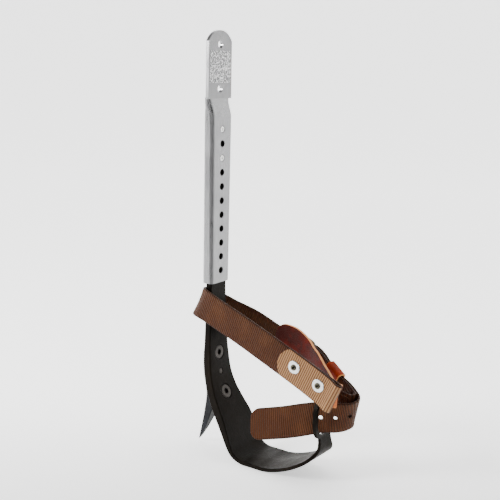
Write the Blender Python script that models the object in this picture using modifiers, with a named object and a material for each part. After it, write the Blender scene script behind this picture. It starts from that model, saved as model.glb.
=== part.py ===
"""Tree climbing spur for one leg: forged stirrup, height sleeve, gaff and ankle strap.

Metres, +Z up. The origin is the middle of the footplate's flat top, where the boot's arch rests.
+X points from the shank on the inside of the leg to the eye on the outside, and +Y to the heel side.
"""
import math

import bmesh
import bpy
from mathutils import Matrix, Vector

MM = 0.001
GAP = 0.3                    # clearance between touching pieces, mm

# Sleeve and height holes (mm)
HOLE_PITCH = 12.7
HOLE_COUNT = 11
HOLE_RADIUS = 3.1
TOP_HOLE_Z = 292.8
SLEEVE_BOTTOM_Z = 154.6
SLEEVE_FACE_X = -57.6
SLEEVE_WIDTH = 26.5
SLEEVE_DEPTH = 11.4
SLEEVE_WALL = 1.8
SLEEVE_CORNER = 3.2
SLEEVE_TOP_WIDTH = 29.6
SLEEVE_TOP_DEPTH = 10.2
SHOULDER_START_Z = 303.0
SHOULDER_DIP = 3.8
SHOULDER_CORNER = 4.4
SHOULDER_Z = 320.4
SCREWED_HOLES = {"sleeve_screw_upper": 0, "sleeve_screw_lower": 2}

# Pad plate at the sleeve's top
PLATE_WIDTH = 33.0
PLATE_TOP_Z = 378.0
PLATE_ARCH_RADIUS = 19.1
PLATE_FACE_X = -61.0
PLATE_THICKNESS = 3.2
PAD_HOLE_RADIUS = 3.5
PAD_HOLES_Z = (366.0, 327.9)

# Shank and stirrup: x and z of the inner face, width along Y, thickness
SHANK_TOP_Z = 300.0
STIRRUP = (
    (-59.7, SHANK_TOP_Z, 22.3, 6.3), (-59.7, 222.0, 22.3, 6.3), (-59.7, 148.0, 22.3, 6.3),
    (-59.2, 120.0, 24.5, 6.6), (-58.5, 98.0, 27.0, 7.0), (-57.2, 82.0, 29.5, 7.5),
    (-55.2, 69.0, 31.5, 7.9), (-50.6, 55.5, 35.0, 8.3), (-43.8, 43.6, 39.0, 8.6),
    (-37.0, 33.0, 42.5, 8.4), (-31.4, 21.5, 45.2, 7.0), (-28.0, 12.5, 46.0, 5.8),
    (-23.8, 4.6, 46.0, 4.6), (-16.0, 0.4, 46.0, 3.8), (-8.0, 0.0, 46.0, 3.6),
    (0.0, 0.0, 46.0, 3.6), (8.0, 0.0, 46.0, 3.5), (18.0, 1.8, 46.0, 3.3), (30.0, 5.9, 46.0, 3.2),
    (41.0, 11.2, 45.0, 3.1), (50.5, 17.4, 39.0, 3.0), (55.6, 23.6, 27.0, 2.9),
    (56.2, 29.0, 20.0, 2.8), (55.2, 36.6, 18.0, 2.6),
)
STEPS_PER_STATION = 4
LOOP_Y = 7.4                 # the strap loop's plane, and its wire's radius
LOOP_RADIUS = 1.6
EDGE_CHAMFER = 0.8

# Eye at the end of the upright
EYE_CENTRE_Y = -1.5
EYE_CENTRE_Z = 53.5
EYE_OUTER = (15.4, 19.6)     # half width along Y and half height
EYE_INNER = (11.4, 15.9)
EYE_INNER_X = 54.7
EYE_THICKNESS = 3.2

# Gaff: z, x of its outer edge, x of its inner edge (None lies on the shank), half width
GAFF = (
    (101.0, -66.9, None, 9.0), (98.0, -67.6, None, 10.6), (88.0, -69.2, None, 11.0),
    (77.0, -69.8, None, 11.0), (66.0, -69.2, None, 11.0), (56.0, -68.4, None, 10.6),
    (48.5, -68.4, -57.0, 9.8), (42.0, -69.4, -58.0, 8.6), (36.0, -70.8, -59.6, 7.2),
    (24.0, -73.6, -65.2, 5.0), (12.0, -76.8, -71.2, 3.0), (3.0, -79.4, -76.6, 1.4),
    (-1.8, -80.9, -80.3, 0.3),
)
GAFF_SCREWS_Z = {"gaff_screw_upper": 88.3, "gaff_screw_lower": 52.5}
GAFF_PIN_Z = 70.5
GAFF_HEAD_RADIUS = 6.3
GAFF_HEAD_DEPTH = 3.4
GAFF_SHANK_RADIUS = 3.2
GAFF_SCREW_LENGTH = 14.0

# Webbing and leather
WEB_WIDTH = 28.0
WEB_THICKNESS = 2.2
LAYER = WEB_THICKNESS + 0.4  # distance between the middles of two layers
LEATHER = 2.0
FRONT_Y = -20.0              # middle of the front run
FRONT_LEAN = 24.5            # degrees, across the front run's fall at its riveted end
RIVET_X = {"left": 39.0, "right": 63.0}
RIVET_RISE = 3.5             # above the front run's middle
RIVET_RADIUS = 1.6
BOW_RADIUS = 17.8            # of the riveted end's cut
PUNCH_RADIUS = 1.9
PUNCH_PITCH = 12.7
PUNCH_FIRST = 67.0           # along the strap, from the tail's end
PUNCH_COUNT = 5

# Roller buckle's crossbar, and the keeper's middle, on a back run that falls and turns (degrees)
BUCKLE = Vector((17.4, 34.5, 87.2))
BACK_SLOPE = 21.0
BACK_TURN = 2.0
KEEPER = Vector((45.5, 28.0, 74.7))
KEEPER_SLOPE = 27.0
KEEPER_TURN = 20.0
WIRE_RADIUS = 1.7
FRAME_HALF_WIDTH = WEB_WIDTH / 2 + 3.2
ROLLER_ALONG = -27.0
ROLLER_OUT = 2.2
ROLLER_RADIUS = 3.2
ROLLER_LENGTH = 26.0
KEEPER_LENGTH = 17.5


def run_axes(slope, turn):
    """Along, out of and across a run that falls by a slope and turns to the front, in degrees."""
    slope, turn = math.radians(slope), math.radians(turn)
    flat = Vector((math.cos(turn), -math.sin(turn), 0.0))
    along = flat * math.cos(slope) - Vector((0.0, 0.0, math.sin(slope)))
    out = Vector((math.sin(turn), math.cos(turn), 0.0))
    return along, out, along.cross(out)


ALONG, OUT, ACROSS = run_axes(BACK_SLOPE, BACK_TURN)
KEEPER_AXIS, KEEPER_OUT, KEEPER_ACROSS = run_axes(KEEPER_SLOPE, KEEPER_TURN)


def clear_scene():
    for obj in list(bpy.data.objects):
        bpy.data.objects.remove(obj, do_unlink=True)


def collection(name):
    made = bpy.data.collections.new(name)
    bpy.context.scene.collection.children.link(made)
    return made


def material(name, colour, roughness, metallic=0.0):
    made = bpy.data.materials.new(name)
    made.use_nodes = True
    shader = made.node_tree.nodes["Principled BSDF"]
    shader.inputs["Base Color"].default_value = (*colour, 1.0)
    shader.inputs["Roughness"].default_value = roughness
    shader.inputs["Metallic"].default_value = metallic
    return made


clear_scene()
PARTS = collection("tree_climbing_spur")
CUTTERS = collection("cutters")
STEEL = material("black_oxide_steel", (0.045, 0.04, 0.033), 0.45, 0.9)
GAFF_STEEL = material("gaff_steel", (0.07, 0.075, 0.085), 0.4, 0.9)
BRIGHT = material("satin_sleeve", (0.55, 0.55, 0.56), 0.3, 1.0)
NICKEL = material("nickel", (0.8, 0.8, 0.78), 0.2, 1.0)
OLIVE = material("buckle_steel", (0.14, 0.13, 0.1), 0.4, 0.9)
WEBBING = material("brown_webbing", (0.13, 0.065, 0.038), 0.7)
LEATHER_RED = material("leather", (0.24, 0.07, 0.025), 0.55)


def smooth(points, steps):
    """Points along a Catmull-Rom curve through tuples of any one length."""
    vectors = [Vector(p) for p in points]
    padded = [vectors[0] * 2 - vectors[1], *vectors, vectors[-1] * 2 - vectors[-2]]
    made = []
    for i in range(1, len(padded) - 2):
        before, start, end, after = padded[i - 1:i + 3]
        for step in range(steps):
            t = step / steps
            curve = 2 * start + (end - before) * t
            curve += (2 * before - 5 * start + 4 * end - after) * t ** 2
            curve += (3 * start - before - 3 * end + after) * t ** 3
            made.append(curve / 2)
    made.append(vectors[-1])
    return made


def add(name, mesh, finish, where=None):
    obj = bpy.data.objects.new(name, mesh)
    (where or PARTS).objects.link(obj)
    if finish:
        mesh.materials.append(finish)
    return obj


def mesh_of(name, bm):
    bmesh.ops.recalc_face_normals(bm, faces=bm.faces)
    mesh = bpy.data.meshes.new(name)
    bm.to_mesh(mesh)
    bm.free()
    mesh.shade_smooth()
    mesh.set_sharp_from_angle(angle=math.radians(35))
    return mesh


def set_origin(obj, point):
    """Moves the origin to a point in mm and leaves the shape where it is."""
    obj.data.transform(Matrix.Translation(-point * MM))
    obj.location = point * MM


def loft(name, rings, finish, where=None):
    """A closed solid through rings of equally many points, in mm, capped at both ends."""
    bm = bmesh.new()
    rows = [[bm.verts.new(Vector(p) * MM) for p in ring] for ring in rings]
    for low, high in zip(rows, rows[1:]):
        for i in range(len(low)):
            j = (i + 1) % len(low)
            bm.faces.new((low[i], low[j], high[j], high[i]))
    bm.faces.new(rows[0])
    bm.faces.new(list(reversed(rows[-1])))
    return add(name, mesh_of(name, bm), finish, where)


def to_mesh(obj, finish):
    """Replaces a curve object by its mesh, with its caps welded on."""
    bpy.context.view_layer.update()
    evaluated = obj.evaluated_get(bpy.context.evaluated_depsgraph_get())
    raw = bpy.data.meshes.new_from_object(evaluated)
    raw.transform(obj.matrix_world)
    bm = bmesh.new()
    bm.from_mesh(raw)
    bmesh.ops.remove_doubles(bm, verts=bm.verts, dist=0.01 * MM)
    name = obj.name
    bpy.data.objects.remove(obj, do_unlink=True)
    bpy.data.meshes.remove(raw)
    return add(name, mesh_of(name, bm), finish)


def rod(name, points, radius, finish, closed=False):
    """A wire of round section through points in mm."""
    curve = bpy.data.curves.new(name, "CURVE")
    curve.dimensions = "3D"
    curve.bevel_depth = radius * MM
    curve.bevel_resolution = 2
    curve.use_fill_caps = not closed
    spline = curve.splines.new("POLY")
    spline.points.add(len(points) - 1)
    for target, point in zip(spline.points, points):
        target.co = (*(Vector(point) * MM), 1.0)
    spline.use_cyclic_u = closed
    obj = bpy.data.objects.new(name, curve)
    PARTS.objects.link(obj)
    return to_mesh(obj, finish)


def plate(name, outlines, thickness, centre_x, finish, bevel=0.0):
    """A flat plate in the YZ plane from closed outlines of (y, z); outlines after the first are holes."""
    curve = bpy.data.curves.new(name, "CURVE")
    curve.dimensions = "2D"
    curve.fill_mode = "BOTH"
    curve.extrude = (thickness / 2 - bevel) * MM
    curve.bevel_depth = bevel * MM
    curve.bevel_resolution = 1
    curve.offset = -bevel * MM
    for outline in outlines:
        spline = curve.splines.new("POLY")
        spline.points.add(len(outline) - 1)
        for target, (y, z) in zip(spline.points, outline):
            target.co = (y * MM, z * MM, 0.0, 1.0)
        spline.use_cyclic_u = True
    obj = bpy.data.objects.new(name, curve)
    PARTS.objects.link(obj)
    obj.matrix_world = Matrix(((0, 0, 1, centre_x * MM), (1, 0, 0, 0), (0, 1, 0, 0), (0, 0, 0, 1)))
    return to_mesh(obj, finish)


def oval(half_y, half_z, centre_y, centre_z, count=40):
    """A rounded oval between an ellipse and a rectangle."""
    power = 2 / 2.6
    made = []
    for i in range(count):
        angle = 2 * math.pi * i / count
        c, s = math.cos(angle), math.sin(angle)
        y = centre_y + half_y * math.copysign(abs(c) ** power, c)
        z = centre_z + half_z * math.copysign(abs(s) ** power, s)
        made.append((y, z))
    return made


def circle(radius, centre_y, centre_z, count=24):
    turn = 2 * math.pi / count
    return [(centre_y + radius * math.cos(turn * i), centre_z + radius * math.sin(turn * i))
            for i in range(count)]


def facing(direction, point):
    """A placement whose +Z runs along a direction, at a point in mm."""
    turn = Vector(direction).to_track_quat("Z", "Y").to_matrix().to_4x4()
    return Matrix.Translation(Vector(point) * MM) @ turn


def turned(name, profile, direction, point, finish, steps=28):
    """A turned piece: (radius, height) pairs in mm from the top down, height along direction."""
    mesh = bpy.data.meshes.new(name)
    corners = [Vector((r, 0.0, h)) * MM for r, h in profile]
    on_axis = profile[0][0] == 0
    edges = [(i, i + 1) for i in range(len(corners) - 1)]
    if not on_axis:
        edges.append((len(corners) - 1, 0))
    mesh.from_pydata(corners, edges, [])
    obj = add(name, mesh, finish)
    screw = obj.modifiers.new("turn", "SCREW")
    screw.steps = steps
    screw.render_steps = steps
    screw.use_merge_vertices = True
    screw.merge_threshold = 0.00001
    obj.matrix_world = facing(direction, point)
    return obj


def cylinder_cutter(name, radius, length, direction, point, sides=24, top_radius=None):
    """A cylinder or cone whose middle is at a point in mm, used only to cut."""
    bm = bmesh.new()
    bmesh.ops.create_cone(bm, cap_ends=True, segments=sides, radius1=radius * MM,
                          radius2=(radius if top_radius is None else top_radius) * MM,
                          depth=length * MM)
    obj = add(name, mesh_of(name, bm), None, CUTTERS)
    obj.matrix_world = facing(direction, point)
    return hide(obj)


def box_cutter(name, size, axes, point):
    """A box with edges along three unit axes, its middle at a point in mm."""
    bm = bmesh.new()
    bmesh.ops.create_cube(bm, size=1.0)
    turn = Matrix([axes[0] * size[0] * MM, axes[1] * size[1] * MM, axes[2] * size[2] * MM]).transposed()
    bmesh.ops.transform(bm, matrix=turn.to_4x4(), verts=bm.verts)
    obj = add(name, mesh_of(name, bm), None, CUTTERS)
    obj.location = point * MM
    return hide(obj)


def hide(cutter):
    cutter.hide_render = True
    cutter.display_type = "WIRE"
    return cutter


def combine(obj, other, operation):
    modifier = obj.modifiers.new(other.name, "BOOLEAN")
    modifier.operation = operation
    modifier.object = other


def cut(obj, cutter):
    combine(obj, cutter, "DIFFERENCE")


def join(obj, other):
    """Adds another object to this one and hides the other away as a construction shape."""
    combine(obj, other, "UNION")
    PARTS.objects.unlink(other)
    CUTTERS.objects.link(other)
    hide(other)


# ---------------------------------------------------------------- shank, stirrup and eye

def stirrup_sections():
    """Inner point, outward normal, width and thickness along the forging."""
    samples = smooth(STIRRUP, STEPS_PER_STATION)
    made = []
    for i, (x, z, width, thickness) in enumerate(samples):
        before = samples[max(i - 1, 0)]
        after = samples[min(i + 1, len(samples) - 1)]
        run = Vector((after[0] - before[0], 0.0, after[1] - before[1])).normalized()
        outward = Vector((run.z, 0.0, -run.x))
        made.append((Vector((x, 0.0, z)), outward, width, thickness))
    return made


SECTIONS = stirrup_sections()


def shank_at(height):
    """The section of the shank whose inner face is nearest to a height."""
    upper = [s for s in SECTIONS if s[0].x < -40]
    for first, second in zip(upper, upper[1:]):
        if first[0].z >= height >= second[0].z:
            part = (first[0].z - height) / (first[0].z - second[0].z)
            point = first[0].lerp(second[0], part)
            outward = first[1].lerp(second[1], part).normalized()
            thickness = first[3] + (second[3] - first[3]) * part
            return point, outward, thickness
    raise ValueError("no shank at this height")


def shank_back_x(height):
    """x of the shank's outer face at a height."""
    faces = [s[0] + s[1] * s[3] for s in SECTIONS if s[0].x < -40]
    for first, second in zip(faces, faces[1:]):
        if first.z >= height >= second.z:
            part = (first.z - height) / (first.z - second.z)
            return first.x + (second.x - first.x) * part
    raise ValueError("no shank at this height")


def flat_ring(point, outward, half, thickness, chamfer):
    """A rectangle with cut corners across the Y axis."""
    across = Vector((0.0, 1.0, 0.0))
    offsets = (
        (-half + chamfer, 0.0), (half - chamfer, 0.0), (half, chamfer), (half, thickness - chamfer),
        (half - chamfer, thickness), (-half + chamfer, thickness), (-half, thickness - chamfer),
        (-half, chamfer),
    )
    return [point + across * y + outward * depth for y, depth in offsets]


def make_climber_frame():
    rings = [flat_ring(p, n, w / 2, t, EDGE_CHAMFER) for p, n, w, t in SECTIONS]
    frame = loft("climber_frame", rings, STEEL)
    outlines = (oval(*EYE_OUTER, EYE_CENTRE_Y, EYE_CENTRE_Z), oval(*EYE_INNER, EYE_CENTRE_Y, EYE_CENTRE_Z))
    eye = plate("eye", outlines, EYE_THICKNESS, EYE_INNER_X + EYE_THICKNESS / 2, STEEL)
    join(frame, eye)
    for name, height in GAFF_SCREWS_Z.items():
        point, outward, _ = shank_at(height)
        bore = GAFF_SHANK_RADIUS + GAP
        cut(frame, cylinder_cutter(name + "_bore", bore, 40.0, outward, point))
        reach = GAFF_HEAD_DEPTH + 2.0
        slope = (GAFF_HEAD_RADIUS - GAFF_SHANK_RADIUS) / GAFF_HEAD_DEPTH
        wide = GAFF_HEAD_RADIUS + GAP * 1.5 + slope * (reach - GAFF_HEAD_DEPTH)
        middle = point + outward * (GAFF_HEAD_DEPTH + GAP - reach / 2)
        cut(frame, cylinder_cutter(name + "_seat", wide, reach, outward, middle, 32, bore + GAP / 2))
    point, outward, _ = shank_at(GAFF_PIN_Z)
    cut(frame, cylinder_cutter("pin_bore", 2.5 + GAP, 40.0, outward, point))
    for name, index in SCREWED_HOLES.items():
        height = TOP_HOLE_Z - HOLE_PITCH * index
        middle = Vector((SLEEVE_FACE_X, 0.0, height))
        cut(frame, cylinder_cutter(name + "_bore", 2.2 + GAP, 30.0, (1, 0, 0), middle))
    return frame


def make_strap_loop():
    """A wire loop on the shank's outer face; the ankle strap passes between it and the shank."""
    face = shank_back_x(120.0) - GAP
    points = ((face - 1.7, 150.6), (-71.6, 150.4), (-75.4, 147.4), (-80.4, 134.0), (-84.4, 120.6),
              (-82.6, 115.4), (-77.0, 112.6), (face - 4.2, 112.2), (face - 1.7, 111.8))
    loop = rod("strap_loop", smooth([(x, LOOP_Y, z) for x, z in points], 4), LOOP_RADIUS, STEEL)
    for height in (150.6, 112.0):
        base = Vector((face - 1.0, LOOP_Y, height))
        foot = turned("strap_loop_foot", ((0, 1.0), (2.8, 1.0), (3.4, 0.4), (3.4, -1.0), (0, -1.0)),
                      (-1, 0, 0), base, STEEL)
        join(loop, foot)
    return loop


# ---------------------------------------------------------------- sleeve

def channel_ring(height, half, front, back, corner):
    """A rounded rectangle at a height; front is the face with the holes."""
    centres = ((front - corner, half - corner), (back + corner, half - corner),
               (back + corner, -half + corner), (front - corner, -half + corner))
    made = []
    for quarter, (x, y) in enumerate(centres):
        for step in range(5):
            angle = math.radians(90 * quarter + 22.5 * step)
            made.append(Vector((x + corner * math.cos(angle), y + corner * math.sin(angle), height)))
    return made


def make_sleeve():
    rings = []
    heights = [SLEEVE_BOTTOM_Z]
    heights += [SHOULDER_START_Z + (SHOULDER_Z - SHOULDER_START_Z) * i / 8 for i in range(9)]
    for height in heights:
        up = (height - SLEEVE_BOTTOM_Z) / (SHOULDER_Z - SLEEVE_BOTTOM_Z)
        part = max(0.0, (height - SHOULDER_START_Z) / (SHOULDER_Z - SHOULDER_START_Z))
        eased = part ** 2 * (3 - 2 * part)
        half = (SLEEVE_WIDTH + (SLEEVE_TOP_WIDTH - SLEEVE_WIDTH) * up) / 2
        back = SLEEVE_FACE_X - SLEEVE_DEPTH + (SLEEVE_DEPTH - SLEEVE_TOP_DEPTH) * up
        corner = SLEEVE_CORNER + (SHOULDER_CORNER - SLEEVE_CORNER) * eased
        corner = min(corner, (SLEEVE_FACE_X - SHOULDER_DIP * eased - back) / 2 - 0.2)
        rings.append(channel_ring(height, half, SLEEVE_FACE_X - SHOULDER_DIP * eased, back, corner))
    sleeve = loft("sleeve", rings, BRIGHT)

    side = PLATE_WIDTH / 2
    centre = PLATE_TOP_Z - PLATE_ARCH_RADIUS
    reach = math.asin(side / PLATE_ARCH_RADIUS)
    arch = []
    for i in range(17):
        angle = math.pi / 2 - reach + 2 * reach * i / 16
        arch.append((PLATE_ARCH_RADIUS * math.cos(angle), centre + PLATE_ARCH_RADIUS * math.sin(angle)))
    outline = [(side, SHOULDER_Z - 1.0), *arch, (-side, SHOULDER_Z - 1.0)]
    holes = [circle(PAD_HOLE_RADIUS, 0.0, z) for z in PAD_HOLES_Z]
    pad_plate = plate("pad_plate", (outline, *holes), PLATE_THICKNESS,
                      PLATE_FACE_X - PLATE_THICKNESS / 2, BRIGHT)
    join(sleeve, pad_plate)

    inside = SLEEVE_WIDTH - 2 * SLEEVE_WALL
    cavity_front = SLEEVE_FACE_X - SLEEVE_WALL
    cavity_low = SLEEVE_BOTTOM_Z - 5.0
    cavity_high = SHANK_TOP_Z + 6.0
    middle = Vector((cavity_front - 10.0, 0.0, (cavity_low + cavity_high) / 2))
    axes = (Vector((1, 0, 0)), Vector((0, 1, 0)), Vector((0, 0, 1)))
    size = (20.0, inside, cavity_high - cavity_low)
    cut(sleeve, box_cutter("sleeve_cavity", size, axes, middle))
    for index in range(HOLE_COUNT):
        point = Vector((SLEEVE_FACE_X, 0.0, TOP_HOLE_Z - HOLE_PITCH * index))
        cut(sleeve, cylinder_cutter(f"height_hole_{index + 1}", HOLE_RADIUS, 8.0, (1, 0, 0), point, 20))
    set_origin(sleeve, Vector((SLEEVE_FACE_X, 0.0, SLEEVE_BOTTOM_Z)))
    return sleeve


def make_sleeve_screws():
    head = HOLE_RADIUS - GAP
    for name, index in SCREWED_HOLES.items():
        point = (SLEEVE_FACE_X - 0.1, 0.0, TOP_HOLE_Z - HOLE_PITCH * index)
        deep = SLEEVE_WALL
        profile = ((0, 0), (head - 0.5, 0), (head, -0.4), (head, -deep), (2.2, -deep), (2.2, -7.6),
                   (1.8, -8.0), (0, -8.0))
        screw = turned(name, profile, (1, 0, 0), point, NICKEL, 20)
        socket_at = Vector(point) + Vector((0.2, 0.0, 0.0))
        cut(screw, cylinder_cutter(name + "_socket", 1.5, 2.2, (1, 0, 0), socket_at, 6))


# ---------------------------------------------------------------- gaff

def gaff_ring(height, outer_x, inner_x, half):
    inner = shank_back_x(height) - GAP if inner_x is None else inner_x
    deep = inner - outer_x
    cut_back = min(half, deep) * 0.3
    offsets = (
        (inner, -half + cut_back * 0.4), (inner, half - cut_back * 0.4),
        (inner - cut_back * 0.4, half), (outer_x + cut_back * 1.4, half),
        (outer_x, half - cut_back * 1.6), (outer_x, -half + cut_back * 1.6),
        (outer_x + cut_back * 1.4, -half), (inner - cut_back * 0.4, -half),
    )
    return [Vector((x, y, height)) for x, y in offsets]


def gaff_rows():
    """The stations of the gaff, with extra ones between them down its tang."""
    rows = []
    for first, second in zip(GAFF, GAFF[1:]):
        parts = 3 if second[2] is None else 1
        for step in range(parts):
            t = step / parts
            height = first[0] + (second[0] - first[0]) * t
            outer = first[1] + (second[1] - first[1]) * t
            rows.append((height, outer, first[2], first[3] + (second[3] - first[3]) * t))
    rows.append(GAFF[-1])
    return rows


def make_gaff():
    gaff = loft("gaff", [gaff_ring(*row) for row in gaff_rows()], GAFF_STEEL)
    for name, height in GAFF_SCREWS_Z.items():
        point, outward, _ = shank_at(height)
        bore = GAFF_SHANK_RADIUS + GAP
        end = GAFF_SCREW_LENGTH + 1.0
        cut(gaff, cylinder_cutter(name + "_thread", bore, end, outward, point + outward * end / 2))
    point, outward, _ = shank_at(GAFF_PIN_Z)
    cut(gaff, cylinder_cutter("pin_seat", 2.5 + GAP, 13.0, outward, point + outward * 6.5))
    return gaff


def make_gaff_fasteners():
    for name, height in GAFF_SCREWS_Z.items():
        point, outward, _ = shank_at(height)
        top = point + outward * 0.2
        profile = ((0, 0), (GAFF_HEAD_RADIUS - 0.3, 0), (GAFF_HEAD_RADIUS, -0.4),
                   (GAFF_SHANK_RADIUS, -GAFF_HEAD_DEPTH), (GAFF_SHANK_RADIUS, 1 - GAFF_SCREW_LENGTH),
                   (GAFF_SHANK_RADIUS - 1, -GAFF_SCREW_LENGTH), (0, -GAFF_SCREW_LENGTH))
        screw = turned(name, profile, -outward, top, STEEL)
        cut(screw, cylinder_cutter(name + "_socket", 2.9, 4.4, outward, top, 6))
    point, outward, _ = shank_at(GAFF_PIN_Z)
    profile = ((0, 0), (2.1, 0), (2.5, -0.4), (2.5, -11.6), (2.1, -12.0), (0, -12.0))
    turned("gaff_locating_pin", profile, -outward, point + outward * 0.3, STEEL, 20)


# ---------------------------------------------------------------- straps

def station(x, y, z, splay=0.0, lean=0.0, turn=0.0):
    """A point on a strap's middle. Splay flares the lower edge out; lean tips the width, to -X
    or, turned, also to +Y."""
    return (x, y, z, splay, lean, turn)


def front_height(x):
    """Height of the front run's middle, a slightly steepening fall to the right."""
    return 109.5 - 0.409 * (x - 8.0) - 0.000577 * (x - 8.0) ** 2


def front_points(layer_y, pairs):
    """Points along the front run, each given by its x and its rise above the run's middle."""
    return [station(x, layer_y, front_height(x) + rise, lean=FRONT_LEAN) for x, rise in pairs]


def back_point(along, out):
    """A point beside the back run: along it and out of it, from the buckle's crossbar."""
    return BUCKLE + ALONG * along + OUT * out


def back_points(pairs):
    """Points beside the buckle, where the width lies along its crossbar."""
    return [station(*back_point(along, out), lean=BACK_SLOPE, turn=BACK_TURN) for along, out in pairs]


def keeper_point(along, out):
    return KEEPER + KEEPER_AXIS * along + KEEPER_OUT * out


def keeper_points(pairs):
    return [station(*keeper_point(along, out), lean=KEEPER_SLOPE, turn=KEEPER_TURN)
            for along, out in pairs]


def ankle_strap_route():
    """Middle of the webbing from the riveted end to the tail."""
    outer_y = FRONT_Y - LAYER
    route = front_points(outer_y, [(x, 1.9) for x in (23.0, 24.5, 26.5, 29.0, 34.0, 46.0, 58.0)])
    nose = ((68.4, -0.1), (72.4, -1.2), (75.2, -2.0), (78.0, -0.6), (78.2, 1.4), (75.6, 2.3))
    route += [station(x, outer_y + dy, front_height(x) + 1.6, lean=FRONT_LEAN) for x, dy in nose]
    route += front_points(FRONT_Y, ((68.0, 1.3), (52.0, 0.6), (30.0, 0.0), (8.0, 0.0)))
    route += [
        station(-20.0, -19.2, front_height(-20.0)), station(-44.0, -18.6, front_height(-44.0)),
        station(-58.0, -18.0, 134.4, 4.0), station(-67.8, -15.4, 136.6, 13.0),
        station(-74.0, -9.0, 136.2, 24.0), station(-76.0, 0.0, 134.0, 28.0),
        station(-74.2, 9.2, 130.2, 21.0), station(-67.8, 16.2, 125.0, 10.0),
        station(-58.0, 22.0, 119.2, 4.0), station(-40.0, 30.4, 110.4),
    ]
    route += back_points(((-40.0, -2.2), (-27.0, -2.4), (-19.0, -1.2), (-11.5, 2.4), (-4.5, 5.3),
                          (1.0, 5.9), (6.5, 5.0), (10.0, 3.3), (13.5, 1.8)))
    route += keeper_points(((-11.0, LAYER / 2), (0.0, LAYER / 2), (9.0, LAYER / 2)))
    route += [
        station(64.8, 23.0, 66.3, lean=20.0, turn=20.0), station(75.8, 17.3, 61.3, lean=16.0, turn=20.0),
        station(80.2, 12.4, 59.8, lean=15.0, turn=20.0), station(79.8, 7.6, 58.2, -4.0, 15.0, 10.0),
        station(75.4, 3.0, 56.2, -8.0, 12.0), station(67.2, -1.0, 54.4, -5.0, 6.0),
        station(57.0, -4.0, 53.6), station(46.0, -9.2, 51.0, 7.0), station(28.0, -14.2, 45.4, 20.0),
        station(8.0, -17.6, 40.0, 24.0), station(-7.0, -20.0, 36.4, 25.0),
    ]
    return route


def buckle_strap_route():
    """From the sewn tab, round the crossbar, through the keeper and round its own hem."""
    fold = WIRE_RADIUS + GAP + WEB_THICKNESS / 2 + 0.1
    pairs = [(8.8, LAYER / 2 - 0.1), (6.0, LAYER / 2 + 0.2)]
    for degrees in range(60, 301, 30):
        angle = math.radians(degrees)
        pairs.append((fold * math.cos(angle), fold * math.sin(angle)))
    pairs += [(6.4, -LAYER / 2 - 0.2), (12.0, -LAYER / 2)]
    route = back_points(pairs)
    route += keeper_points(((-11.0, -LAYER / 2), (0.0, -LAYER / 2), (9.0, -LAYER / 2)))
    route += [
        station(63.5, 20.6, 66.8, lean=20.0, turn=20.0), station(71.8, 16.0, 63.6, lean=17.0, turn=20.0),
        station(75.6, 12.8, 62.6, lean=14.0, turn=20.0), station(75.6, 9.8, 62.0, lean=14.0, turn=20.0),
        station(73.0, 8.6, 61.8, lean=14.0, turn=20.0), station(65.0, 9.8, 62.0, lean=14.0, turn=20.0),
    ]
    return route


def guard_route():
    """Leather: behind the rivets, round past the riveted end, and back as a free flap."""
    middle = FRONT_Y + WEB_THICKNESS / 2 + GAP + LEATHER / 2
    route = front_points(middle, ((27.0, 0.6), (45.0, 0.8), (58.0, 0.9), (66.0, 0.9)))
    route += [
        station(72.2, middle + 1.6, 81.4, lean=20.0), station(74.8, -13.8, 80.0, lean=14.0),
        station(74.0, -11.4, 79.2, lean=6.0), station(70.6, -8.8, 79.4), station(65.8, -6.0, 80.9),
        station(48.4, 5.2, 89.6), station(33.0, 15.4, 94.6), station(22.7, 21.2, 99.6),
        station(8.9, 26.0, 104.6), station(-3.0, 28.6, 105.4), station(-15.2, 30.0, 104.8),
    ]
    return route


def frames_along(route, steps):
    """Point, direction, width direction and facing along a strap's middle."""
    samples = smooth(route, steps)
    made = []
    for i, sample in enumerate(samples):
        point = Vector(sample[:3])
        before = Vector(samples[max(i - 1, 0)][:3])
        after = Vector(samples[min(i + 1, len(samples) - 1)][:3])
        along = (after - before).normalized()
        splay, lean, turn = (math.radians(angle) for angle in sample[3:6])
        tipped = Vector((-math.cos(turn), math.sin(turn), 0.0)) * math.sin(lean)
        hanging = tipped - Vector((0.0, 0.0, math.cos(lean)))
        down = (hanging - along * hanging.dot(along)).normalized()
        wide = down * math.cos(splay) + along.cross(down) * math.sin(splay)
        made.append((point, along, wide, along.cross(wide)))
    return made


def even_widths(count, width):
    return [width / 2] * count


def rounded_end(frames, width, radius):
    """Half widths that close a strap's last stretch into a round end."""
    end = frames[-1][0]
    halves = []
    for point, _, _, _ in frames:
        left = min((end - point).length, radius)
        halves.append(width / 2 - radius + math.sqrt(max(radius ** 2 - (radius - left) ** 2, 0.04)))
    return halves


def bowed_start(frames, width, radius):
    """Half widths that give a strap's first stretch a bowed cut of a radius above half its width."""
    start = frames[0][0]
    halves = []
    for point, _, _, _ in frames:
        along = min((point - start).length, radius)
        halves.append(min(width / 2, math.sqrt(max(radius ** 2 - (radius - along) ** 2, 0.04))))
    return halves


def ribbon(name, frames, halves, thickness, finish):
    """A strap: an open strip along its middle line, made solid by its thickness."""
    bm = bmesh.new()
    rows = []
    for (point, _, wide, _), half in zip(frames, halves):
        rows.append([bm.verts.new((point + wide * half * side) * MM) for side in (-1.0, 0.0, 1.0)])
    for low, high in zip(rows, rows[1:]):
        for i in (0, 1):
            bm.faces.new((low[i], high[i], high[i + 1], low[i + 1]))
    obj = add(name, mesh_of(name, bm), finish)
    solid = obj.modifiers.new("thickness", "SOLIDIFY")
    solid.thickness = thickness * MM
    solid.offset = 0.0
    return obj


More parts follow.
